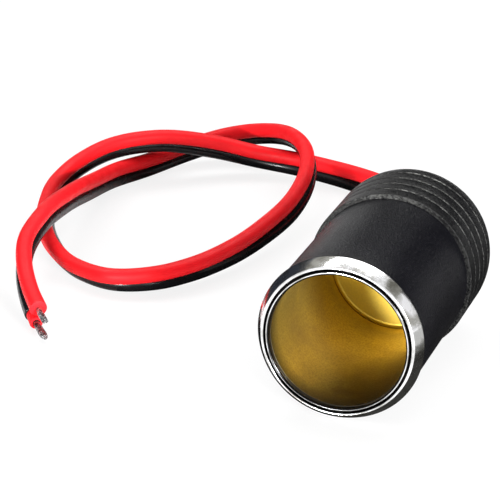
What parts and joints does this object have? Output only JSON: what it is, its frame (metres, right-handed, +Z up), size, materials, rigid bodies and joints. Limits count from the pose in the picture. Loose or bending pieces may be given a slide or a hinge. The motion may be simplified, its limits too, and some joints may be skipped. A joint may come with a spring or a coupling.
{
  "type": "12 V accessory socket with lead",
  "caption": "Round 12 V vehicle accessory socket, chromed front ring, metal-lined bore, black barrel and grooved rear cap, with a looped red and black lead stripped at its end.",
  "frame": {"origin": "under the middle of the socket's body, on the surface it lies on; the free lead isn't counted", "axes": "+Y along the socket's axis from its mouth to its rear cap, +X to the right seen from the mouth, +Z up"},
  "size_m": [0.0904, 0.1115, 0.0264],
  "materials": {
    "bezel_chrome": "polished chrome over a rolled steel ring",
    "liner_metal": "satin yellow passivated steel",
    "barrel_black": "satin black moulding with a fine grain",
    "cap_black": "satin black moulding, grained front face",
    "fibre": "plain fibre board",
    "contact_metal": "plain brass",
    "plated_steel": "tin plated sheet",
    "solder": "smooth solder",
    "insulation_red": "soft gloss PVC",
    "insulation_black": "soft gloss PVC",
    "tinned_copper": "tinned copper strands",
    "grommet_rubber": "soft black"
  },
  "bodies": {
    "root": {"bezel_ring": "bezel_chrome", "liner_shell": "liner_metal", "housing_tube": "barrel_black", "rear_cap": "cap_black", "front_insulator": "fibre", "rear_insulator": "fibre", "contact_rivet": "contact_metal", "rivet_washer": "plated_steel", "positive_tab": "plated_steel", "negative_tab": "plated_steel", "positive_solder": "solder", "negative_solder": "solder", "red_inner_lead": "insulation_red", "black_inner_lead": "insulation_black", "red_inner_strands": "tinned_copper", "black_inner_strands": "tinned_copper", "wire_grommet": "grommet_rubber", "red_wire": "insulation_red", "black_wire": "insulation_black", "red_wire_tip": "tinned_copper", "black_wire_tip": "tinned_copper", "black_wire_collar": "insulation_red"}
  },
  "joints": []
}
